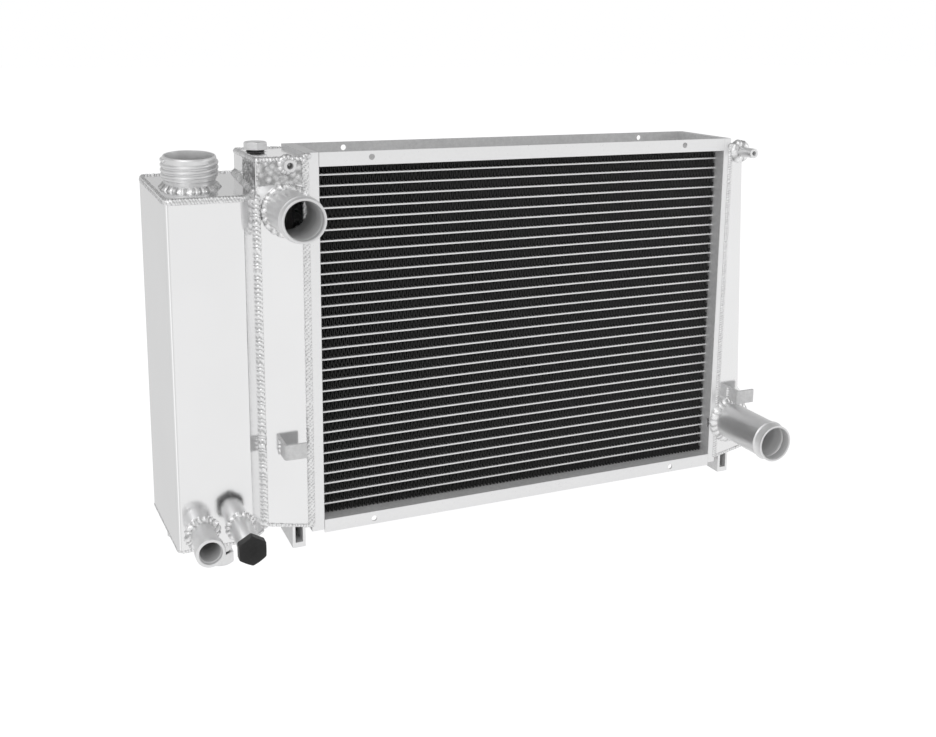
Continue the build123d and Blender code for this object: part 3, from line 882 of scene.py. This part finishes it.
for name, node, foot, length, outer, bore in (
    ("port_for_sensor", "sensor_port", port_foot, port_length, PORT_OUTER, PORT_BORE),
    ("nipple_for_bleed_hose", "bleed_nipple", bleed_tube_foot, bleed_tube_length, BLEED_TUBE,
     BLEED_TUBE_BORE),
    ("nipple_for_vent_hose", "vent_nipple", vent_tube_foot, vent_tube_length, VENT_TUBE,
     VENT_TUBE_BORE),
):
    outline = tube_outline(outer, bore, length, 0.6 * MM)
    mesh = turned(outline, foot, FRONT, bore=bore + 0.1 * MM)
    show(name, [mesh], TURNED_ALONG_Y, [node])

# The filler neck stands square to the top plate, which rises towards the rear
TOP_SLOPE = 0.088
FILLER_AXIS = Vector((0, -TOP_SLOPE, 1)).normalized()
FILLER_HEIGHT = 27.5 * MM
FILLER_ROOT = 22.8 * MM
FILLER_BORE = 20.8 * MM
THREAD_RISE = 1.85 * MM
THREAD_PITCH = 4.4 * MM
THREAD_WIDTH = 3.3 * MM


def filler_foot_centre():
    """The point where the neck's axis meets the top plate, found from the neck's box."""
    low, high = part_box("filler_neck")
    middle = Vector(((low.x + high.x) / 2, (low.y + high.y) / 2, 0))
    reach = FILLER_ROOT * FILLER_AXIS.y
    foot_z = high.z - FILLER_HEIGHT * FILLER_AXIS.z + reach
    foot_y = middle.y - FILLER_AXIS.y * FILLER_HEIGHT / 2
    return Vector((middle.x, foot_y, foot_z))


filler_foot = filler_foot_centre()


def filler():
    plain = 6.5 * MM
    waist = 21.8 * MM
    outline = softened(
        [
            (FILLER_BORE, 0),
            (waist, 0),
            (waist, plain),
            (FILLER_ROOT, plain + 1.2 * MM),
            (FILLER_ROOT, FILLER_HEIGHT - 1.6 * MM),
            (FILLER_ROOT - 0.9 * MM, FILLER_HEIGHT),
            (FILLER_BORE, FILLER_HEIGHT),
        ],
        0.45 * MM,
    )
    body = turned(outline, filler_foot, FILLER_AXIS, 128)
    first = 8.6 * MM
    turns = (FILLER_HEIGHT - first - 3.2 * MM) / THREAD_PITCH
    ridge = thread(
        filler_foot, FILLER_AXIS, FILLER_ROOT - 0.1 * MM, THREAD_RISE, THREAD_PITCH, first, turns,
        THREAD_WIDTH,
    )
    meshes = [body, ridge]
    show("filler_neck_threaded", meshes, TURNED_ALONG_Z, ["filler_neck"])


filler()


# ---- screws and seals

SEAL_ROOM = 2.1 * MM
SCREW_PITCH = 1.5 * MM


def head_outline(flats, height, angle):
    """One spoke of a chamfered hexagon head, from its underside's centre to its top's."""
    sixth = math.pi / 3
    lean = (angle + sixth / 2) % sixth - sixth / 2
    flat = flats / 2 / math.cos(lean)
    edge = min(flat, flats / 2 / math.cos(sixth / 2) - 0.3 * MM)
    crown = flats / 2 * 0.955
    drop = max(0.0, edge - crown) * math.tan(math.radians(30))
    ease = 0.35 * MM
    return [
        (0, SEAL_ROOM),
        (crown, SEAL_ROOM),
        (edge - ease, SEAL_ROOM + ease * 0.4),
        (edge, SEAL_ROOM + ease),
        (edge, SEAL_ROOM + height - drop - ease),
        (edge - ease * 0.5, SEAL_ROOM + height - drop),
        (crown, SEAL_ROOM + height - 0.12 * MM),
        (crown - 0.5 * MM, SEAL_ROOM + height),
        (0, SEAL_ROOM + height),
    ]


def hexagon_screw(name, node, body, face, axis, flats, height, shank, depth, material):
    """A hexagon screw with a threaded shank, standing on its seal."""
    def spoke(angle):
        return head_outline(flats, height, angle)

    head = turned(None, face, axis, 120, radius_at=spoke, sharp=24.0)
    core = shank - 0.75 * MM
    tip = softened(
        [(0, -depth), (core - 0.8 * MM, -depth), (core, 0.8 * MM - depth),
         (core, SEAL_ROOM + 1 * MM), (0, SEAL_ROOM + 1 * MM)],
        0.2 * MM,
    )
    stem = turned(tip, face, axis, 64)
    turns = (depth - 2.2 * MM) / SCREW_PITCH
    ridge = thread(face, axis, core - 0.05 * MM, 0.75 * MM, SCREW_PITCH, 1.2 * MM - depth, turns,
                   1.25 * MM, step=0.8 * MM)
    piece = show(name, [head, stem, ridge], material, [node], body)
    store_edge_highlight(piece)
    return piece


def store_edge_highlight(piece):
    """Keep, at each point, how sharply its faces meet, so that a finish can paint a highlight there.
    """
    built = bmesh.new()
    built.from_mesh(piece.data)
    painted_edge_highlight = []
    for vertex in built.verts:
        sharpest = max((edge.calc_face_angle(0.0) for edge in vertex.link_edges), default=0.0)
        painted_edge_highlight.append(min(1.0, sharpest / math.radians(60)))
    built.free()
    attribute = piece.data.attributes.new("highlit_edges", "FLOAT", "POINT")
    attribute.data.foreach_set("value", painted_edge_highlight)


def seal_ring(name, node, body, face, axis, shank):
    section = 1.0 * MM
    middle = shank + 0.1 * MM + section
    outline = []
    for step in range(16):
        angle = 2 * math.pi * step / 16
        level = SEAL_ROOM / 2 + section * math.sin(angle)
        outline.append((middle + section * math.cos(angle), level))
    show(name, [turned(outline, face, axis, 72, sharp=60)], RUBBER, [node], body)


def centre_of(node):
    low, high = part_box(node)
    return (low + high) / 2


bleed_centre = centre_of("bleed_screw")
bleed_face = Vector((bleed_centre.x, bleed_centre.y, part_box("left_tank_top")[1].z))
port_face = Vector((port_foot.x, port_foot.y - port_length, port_foot.z))
drain_centre = centre_of("drain_plug")
drain_face = Vector((drain_centre.x, drain_centre.y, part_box("drain_bung")[0].z))

BLEED_SHANK = 5.95 * MM
PORT_SHANK = 7.45 * MM
DRAIN_SHANK = 5.95 * MM

hexagon_screw("screw_bleed", "bleed_screw", "bleed_screw_body", bleed_face, UP, 19 * MM, 7.4 * MM,
              BLEED_SHANK, 9 * MM, TURNED_ALONG_Z)
hexagon_screw("plug_of_sensor_port", "sensor_plug", "sensor_screw_body", port_face, FRONT, 23 * MM,
              9 * MM, PORT_SHANK, 14 * MM, ANODISED)
hexagon_screw("plug_of_drain", "drain_plug", "drain_screw_body", drain_face, -UP, 20 * MM,
              10.5 * MM, DRAIN_SHANK, 12 * MM, TURNED_ALONG_Z)
seal_ring("seal_under_bleed_screw", "bleed_seal", "bleed_seal_body", bleed_face, UP, BLEED_SHANK)
seal_ring("seal_under_port_plug", "sensor_seal", "sensor_seal_body", port_face, FRONT, PORT_SHANK)
seal_ring("seal_under_drain_plug", "drain_seal", "drain_seal_body", drain_face, -UP, DRAIN_SHANK)


# ---- weld beads

left_low, left_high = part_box("left_end_tank")
right_low, right_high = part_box("right_end_tank")
header_low, header_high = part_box("left_header")
shell_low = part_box("expansion_shell")[0]
top_low, top_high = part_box("expansion_top")
bottom_low, bottom_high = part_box("expansion_bottom")
rear_y = header_high.y
INSET = 1 * MM
PLATE = 3 * MM
TANK_SLOPE = 0.2


def side_beads(name, node, x, low, high, width, rise, pitch, slant):
    """Front and rear beads along an end tank's joint with its header."""
    meshes = [
        bead(
            straight_seam((x, y, low), (x, y, high), outward),
            width, rise, pitch, 0.6, Slant=way * slant,
        )
        for y, outward, way in ((0, FRONT, 1), (rear_y, REAR, -1))
    ]
    show_beads(name, meshes, node)


side_beads(
    "beads_left_header", "left_header_weld", header_low.x - 0.5 * MM, left_low.z, left_high.z,
    7.2 * MM, 1.9 * MM, 3.7 * MM, 0.75,
)
side_beads(
    "beads_right_header", "right_header_weld", right_low.x + 0.2 * MM, right_low.z, right_high.z,
    5.4 * MM, 1.7 * MM, 2.3 * MM, 0.35,
)


def tank_seam_beads():
    """The expansion tank's vertical joints with the left end tank, front and rear."""
    x = left_low.x
    front_x = x + 1.2 * MM
    front_high = top_low.z + PLATE
    front = straight_seam((front_x, 0, shell_low.z), (front_x, 0, front_high), (-0.35, -1, 0))
    rear = straight_seam((x, rear_y, bottom_high.z), (x, rear_y, top_high.z), REAR)
    meshes = [
        bead(seam, 7.4 * MM, 2.3 * MM, 3.9 * MM, 0.55, Crescent=crescent)
        for seam, crescent in ((front, 0.75), (rear, -0.75))
    ]
    show_beads("beads_tank_seam", meshes, "expansion_seam_weld")


tank_seam_beads()

EXPANSION_SPLAY = 7.5 * MM
EXPANSION_CHAMFER = 13.5 * MM
EXPANSION_BEND = 5 * MM
BOTTOM_SLOPE = 0.049


def expansion_outline(level, slope):
    """A line a little inside the expansion plate's edge, from the rear joint to the front one."""
    joint = left_low.x
    left = top_low.x
    front = top_low.y
    rear = top_high.y
    corners = (
        (joint, rear - INSET),
        (left + INSET, rear - INSET),
        (left + EXPANSION_SPLAY + INSET, front + INSET),
        (joint - EXPANSION_CHAMFER, front + INSET),
        (joint, INSET),
    )
    return [(x, y, level + slope * (y - front)) for x, y in corners]


top_outline = expansion_outline(top_low.z + PLATE - INSET * 1.6, TOP_SLOPE)
top_seam = edge_seam(top_outline, EXPANSION_BEND, UP * 0.45)
top_bead = bead(top_seam, 6.4 * MM, 1.7 * MM, 2.6 * MM, 0.4, Skin=0.6 * MM, Slant=0.5)
show_beads("bead_expansion_top", [top_bead], "expansion_top_weld")

bottom_outline = expansion_outline(bottom_low.z + INSET * 0.6, BOTTOM_SLOPE)
bottom_seam = edge_seam(bottom_outline, EXPANSION_BEND, UP * -0.9)
bottom_bead = bead(bottom_seam, 4.8 * MM, 1.5 * MM, 2.4 * MM, 0.5, Skin=0.4 * MM)
show_beads("bead_expansion_bottom", [bottom_bead], "expansion_bottom_weld")


def cap_seam(inner, outer, inner_z, outer_z, tilt):
    """A cap's edge round an end tank's three free sides."""
    near = [(inner, rear_y - INSET, inner_z), (outer, rear_y - INSET, outer_z)]
    far = [(outer, INSET, outer_z), (inner, INSET, inner_z)]
    corners = near + far if outer < inner else [(x, rear_y - y, z) for x, y, z in near + far]
    return edge_seam(corners, 3.5 * MM, tilt)


def cap_beads():
    left_outer = left_low.x + INSET
    right_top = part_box("right_tank_top")
    right_outer = right_high.x - INSET
    top_outer = right_top[0].x + 14 * MM - INSET
    left_rise = TANK_SLOPE * (left_high.x - left_low.x)
    right_rise = TANK_SLOPE * (right_high.x - right_low.x)
    left_bottom = left_low.z + INSET
    right_bottom = right_low.z + INSET
    seams = (
        cap_seam(left_high.x, left_outer, left_high.z - INSET, left_high.z - INSET, UP),
        cap_seam(left_high.x, left_outer, left_bottom, left_low.z + left_rise + INSET, -UP),
        cap_seam(right_low.x, top_outer, right_high.z - INSET, right_high.z - INSET, UP),
        cap_seam(right_low.x, right_outer, right_bottom, right_low.z + right_rise + INSET, -UP),
    )
    meshes = [
        bead(seam, 5.4 * MM, 1.7 * MM, 2.9 * MM, 0.5, Skin=0.55 * MM, Wander=0.5 * MM)
        for seam in seams
    ]
    meshes += corner_patches()
    meshes.append(joint_run())
    meshes += corner_runs()
    show_beads("beads_tank_caps", meshes, "cap_welds")


def corner_runs():
    """Short heaped runs on the headers' tops, where the caps' beads end."""
    meshes = []
    for joint, offset, top in (
        (left_high.x, 5 * MM, left_high.z),
        (right_low.x, -3 * MM, right_high.z),
    ):
        x = joint + offset
        reach = (joint - x) * 1.6
        seam = straight_seam((x, 0, top + 2 * MM), (x + reach, 0, top - 1 * MM), FRONT)
        run = bead(seam, 6.5 * MM, 2.4 * MM, 4.5 * MM, 0.3, Skin=0.9 * MM, Wander=0.8 * MM)
        meshes.append(run)
    return meshes


def patch_tree():
    """A patch of overlapping weld runs: a grid raised by noise, sinking at its edges."""
    tree, graph, start = geometry_tree(
        "weld_patch",
        [
            ("Width", FLOAT, 0.04),
            ("Height", FLOAT, 0.02),
            ("Thickness", FLOAT, 1.2 * MM),
            ("Lump", FLOAT, 230.0),
            ("Across", WHOLE, 110),
            ("Up", WHOLE, 60),
            ("Material", MATERIAL, None),
        ],
    )
    width = start.out("Width")
    height = start.out("Height")
    sockets = {0: width, 1: height, 2: start.out("Across"), 3: start.out("Up")}
    grid = graph.add("GeometryNodeMeshGrid", sockets)
    place = graph.add("GeometryNodeInputPosition")
    split = graph.add("ShaderNodeSeparateXYZ", {0: place})
    rim_x = (0.5 - abs(split / width)) * width
    rim_y = (0.5 - abs(split.out("Y") / height)) * height
    inner = (rim_x.below(rim_y) / (3 * MM)).between(0, 1)
    lump = graph.add(
        "ShaderNodeTexNoise",
        {"Vector": place, "Scale": start.out("Lump"), "Detail": 3.0, "Distortion": 1.2},
    )
    grit = graph.add("ShaderNodeTexNoise", {"Vector": place, "Scale": 700.0, "Detail": 3.0})
    cell = graph.add(
        "ShaderNodeTexVoronoi", {"Vector": place, "Scale": 210.0}, output="Distance", feature="F1"
    )
    crest = (1 - cell * 1.4).between(0, 1)
    raised = (lump * 1.9 + crest * 0.35 + grit * 0.55 - 0.95) * start.out("Thickness")
    point = graph.add(
        "ShaderNodeCombineXYZ",
        {0: split, 1: split.out("Y"), 2: raised * inner - (1 - inner) * 0.6 * MM},
    )
    stored = with_ripple(graph, grid, crest)
    moved = graph.add("GeometryNodeSetPosition", {"Geometry": stored, "Position": point})
    smooth = graph.add("GeometryNodeSetShadeSmooth", {"Geometry": moved})
    finished_geometry(graph, smooth, start.out("Material"))
    return tree


PATCH = patch_tree()


def rough_patch(middle, across, facing, width, height, **values):
    """Overlapping runs of weld on a wall."""
    empty = bpy.data.meshes.new("patch")
    mesh = grown(PATCH, empty, Width=width, Height=height, Material=WELD, **values)
    turn = Matrix((across, UP, facing)).transposed().to_4x4()
    mesh.transform(Matrix.Translation(middle) @ turn)
    return mesh


def corner_patches():
    """The left end tank's top corner, where the runs meet round the bleed nipple."""
    tall = 25 * MM
    wide = left_high.x - left_low.x - 3 * MM
    middle_x = (left_low.x + left_high.x) / 2
    front_middle = Vector((middle_x, -0.1 * MM, left_high.z - tall / 2))
    deep = rear_y * 0.5
    side_low = top_low.z + PLATE + TOP_SLOPE * deep / 2
    side_tall = left_high.z - side_low
    side_middle = Vector((left_low.x - 0.1 * MM, deep / 2 + 1 * MM, side_low + side_tall / 2))
    return [
        rough_patch(front_middle, RIGHT, FRONT, wide, tall),
        rough_patch(side_middle, FRONT, -RIGHT, deep, side_tall, Thickness=2.0 * MM),
    ]


def joint_run():
    """The heavy run where the expansion tank's top meets the end tank's outer wall."""
    level = top_low.z + 2.4 * MM
    front_end = (left_low.x, 1 * MM, level + TOP_SLOPE * (1 * MM - top_low.y))
    rear_end = (left_low.x, rear_y - 1 * MM, level + TOP_SLOPE * (rear_y - top_low.y))
    seam = straight_seam(front_end, rear_end, (-1, 0, 1), 20)
    return bead(
        seam, 13 * MM, 4.2 * MM, 6.5 * MM, 0.35, Skin=1.0 * MM, Wander=0.9 * MM, Crescent=0.6
    )


cap_beads()


def neck_beads():
    """The rings of weld round the necks' feet: narrow and even, or wide and heaped.

    Each has its foot, axis and radius, then in millimetres its width, rise, pitch and skin, and
    last its ripples' depth.
    """
    rings = (
        (inlet_foot, FRONT, HOSE_OUTER + 1.6 * MM, 8.6, 3.2, 6.8, 0.9, 0.35),
        (outlet_foot, FRONT, HOSE_OUTER + 1.2 * MM, 14, 4.2, 6.0, 0.5, 0.25),
        (small_foot, FRONT, 12.4 * MM, 9.5, 3.6, 5.0, 0.6, 0.6),
        (port_foot, FRONT, PORT_OUTER + 0.8 * MM, 8, 2.8, 4.4, 0.5, 0.5),
        (filler_foot, FILLER_AXIS, FILLER_ROOT + 0.2 * MM, 10, 3.2, 7.4, 0.6, 0.5),
    )
    meshes = [
        bead(
            ring_seam(centre, axis, radius), width * MM, rise * MM, pitch * MM, depth, closed=True,
            Crescent=0.5, Skin=skin * MM, Wander=0.5 * MM,
        )
        for centre, axis, radius, width, rise, pitch, skin, depth in rings
    ]
    show_beads("beads_round_necks", meshes, "neck_welds")


neck_beads()


def nipple_beads():
    rings = (
        (bleed_tube_foot, BLEED_TUBE + 0.8 * MM, 6.5 * MM, 2.8 * MM, 3.4 * MM),
        (vent_tube_foot, VENT_TUBE + 2.2 * MM, 10.5 * MM, 5.4 * MM, 8.0 * MM),
    )
    meshes = [
        bead(ring_seam(centre, FRONT, radius), width, rise, pitch, 0.3, closed=True, Skin=0.9 * MM)
        for centre, radius, width, rise, pitch in rings
    ]
    show_beads("beads_round_nipples", meshes, "nipple_welds")


nipple_beads()


def bracket_beads():
    """Short runs along the tabs' legs and the feet."""
    meshes = []
    for node in ("left_tab", "right_tab"):
        low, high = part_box(node)
        x = low.x - 0.6 * MM
        seam = straight_seam((x, 0, low.z), (x, 0, high.z), (-0.5, -1, 0))
        meshes.append(bead(seam, 4.5 * MM, 1.7 * MM, 2.6 * MM, 0.5))
    for node, inner in (("left_foot", left_high.x), ("right_foot", right_low.x)):
        low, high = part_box(node)
        for x, way in ((low.x, -1), (high.x, 1)):
            z = left_low.z + TANK_SLOPE * abs(x - inner)
            seam = straight_seam((x, 0, z), (x, high.y, z), (way, 0, -1))
            meshes.append(bead(seam, 4.6 * MM, 1.6 * MM, 3.0 * MM, 0.5))
    show_beads("beads_on_brackets", meshes, "bracket_welds")


bracket_beads()


# ---- floor, light and camera


def stage_finish():
    """Near white to the camera, with faint shadows. Reflections see a level for each bearing."""
    material, graph, place = new_finish("pale_floor")
    split = graph.add("ShaderNodeSeparateXYZ", {0: place})
    corner_x, corner_y = cad_box[0].x, top_low.y
    bearing = graph.add(
        "ShaderNodeMath", {0: split - corner_x, 1: corner_y - split.out("Y")}, operation="ARCTAN2"
    )
    levels = (
        (0.0, 0.7), (0.12, 0.72), (0.3, 0.75), (0.36, 1.15),
        (0.41, 0.72), (0.47, 0.9), (0.7, 0.92), (1.0, 0.7),
    )
    shade = graph.add(
        "ShaderNodeValToRGB",
        {"Fac": bearing / (2 * math.pi) + 0.5},
        stops=[(turn, (level, level, level)) for turn, level in levels],
    )
    lit = graph.add(
        "ShaderNodeBsdfPrincipled",
        {
            "Base Color": grey(0.22),
            "Roughness": 1.0,
            "Emission Color": grey(1.0),
            "Emission Strength": 0.93,
            "Specular IOR Level": 0.0,
        },
    )
    mirrored = graph.add("ShaderNodeEmission", {"Color": shade, "Strength": 1.0})
    seen = graph.add("ShaderNodeLightPath", output="Is Camera Ray")
    mixed = graph.add("ShaderNodeMixShader", {0: seen, 1: mirrored, 2: lit})
    graph.add("ShaderNodeOutputMaterial", {"Surface": mixed})
    return material


def add_floor():
    floor_mesh = bpy.data.meshes.new("pale_floor")
    reach = 14.0
    level = cad_box[0].z
    signs = ((-1, -1), (1, -1), (1, 1), (-1, 1))
    corners = [(x * reach, y * reach, level) for x, y in signs]
    floor_mesh.from_pydata(corners, [], [(0, 1, 2, 3)])
    floor_mesh.materials.append(stage_finish())
    added("pale_floor", floor_mesh)


def add_world():
    """White to the camera; to everything else, bright at the horizon and greyer overhead."""
    world = bpy.data.worlds.new("studio")
    world.use_nodes = True
    world.node_tree.nodes.clear()
    graph = Graph(world.node_tree)
    direction = graph.add("ShaderNodeTexCoord", output="Generated")
    split = graph.add("ShaderNodeSeparateXYZ", {0: direction})
    height = split.out("Z")
    sky = graph.add(
        "ShaderNodeValToRGB",
        {"Fac": height},
        stops=[(0.0, (0.84, 0.84, 0.84)), (0.3, (0.6, 0.6, 0.6)), (1.0, (0.3, 0.3, 0.3))],
    )
    light = graph.add("ShaderNodeBackground", {"Color": sky, "Strength": 1.0})
    white = graph.add("ShaderNodeBackground", {"Color": grey(1.0), "Strength": 1.0})
    seen = graph.add("ShaderNodeLightPath", output="Is Camera Ray")
    shader = graph.add("ShaderNodeMixShader", {0: seen, 1: light, 2: white})
    graph.add("ShaderNodeOutputWorld", {"Surface": shader})
    bpy.context.scene.world = world


def add_softbox(name, place, target, width, height, power):
    data = bpy.data.lights.new(name, "AREA")
    data.shape = "RECTANGLE"
    data.size = width
    data.size_y = height
    data.energy = power
    lamp = added(name, data)
    lamp.location = place
    lamp.rotation_euler = (Vector(target) - Vector(place)).to_track_quat("-Z", "Y").to_euler()


def add_sun(name, angle_deg, tilt_deg, turn_deg, strength):
    data = bpy.data.lights.new(name, "SUN")
    data.angle = math.radians(angle_deg)
    data.energy = strength
    lamp = added(name, data)
    lamp.rotation_euler = (math.radians(tilt_deg), 0, math.radians(turn_deg))


def add_camera():
    """The view from the front left, a little above, with upright verticals held by a lens shift."""
    data = bpy.data.cameras.new("camera")
    data.sensor_width = 36.0
    data.lens = 41.47
    data.shift_y = -0.14
    camera = added("camera", data)
    camera.location = (-0.4643, -0.9062, 0.2772)
    camera.rotation_euler = [math.radians(angle) for angle in (79.398, -0.539, -23.328)]
    bpy.context.scene.camera = camera


add_floor()
add_world()
add_sun("studio_sun", 60, 32, -35, 0.5)
add_softbox("softbox_front_left", (-1.6, -1.8, 1.5), (-0.1, 0, 0), 1.2, 1.2, 7)
add_softbox("softbox_right", (1.9, -0.9, 0.9), (0.1, 0, 0), 0.6, 1.6, 4)
add_camera()
bpy.context.scene.view_settings.view_transform = "Standard"
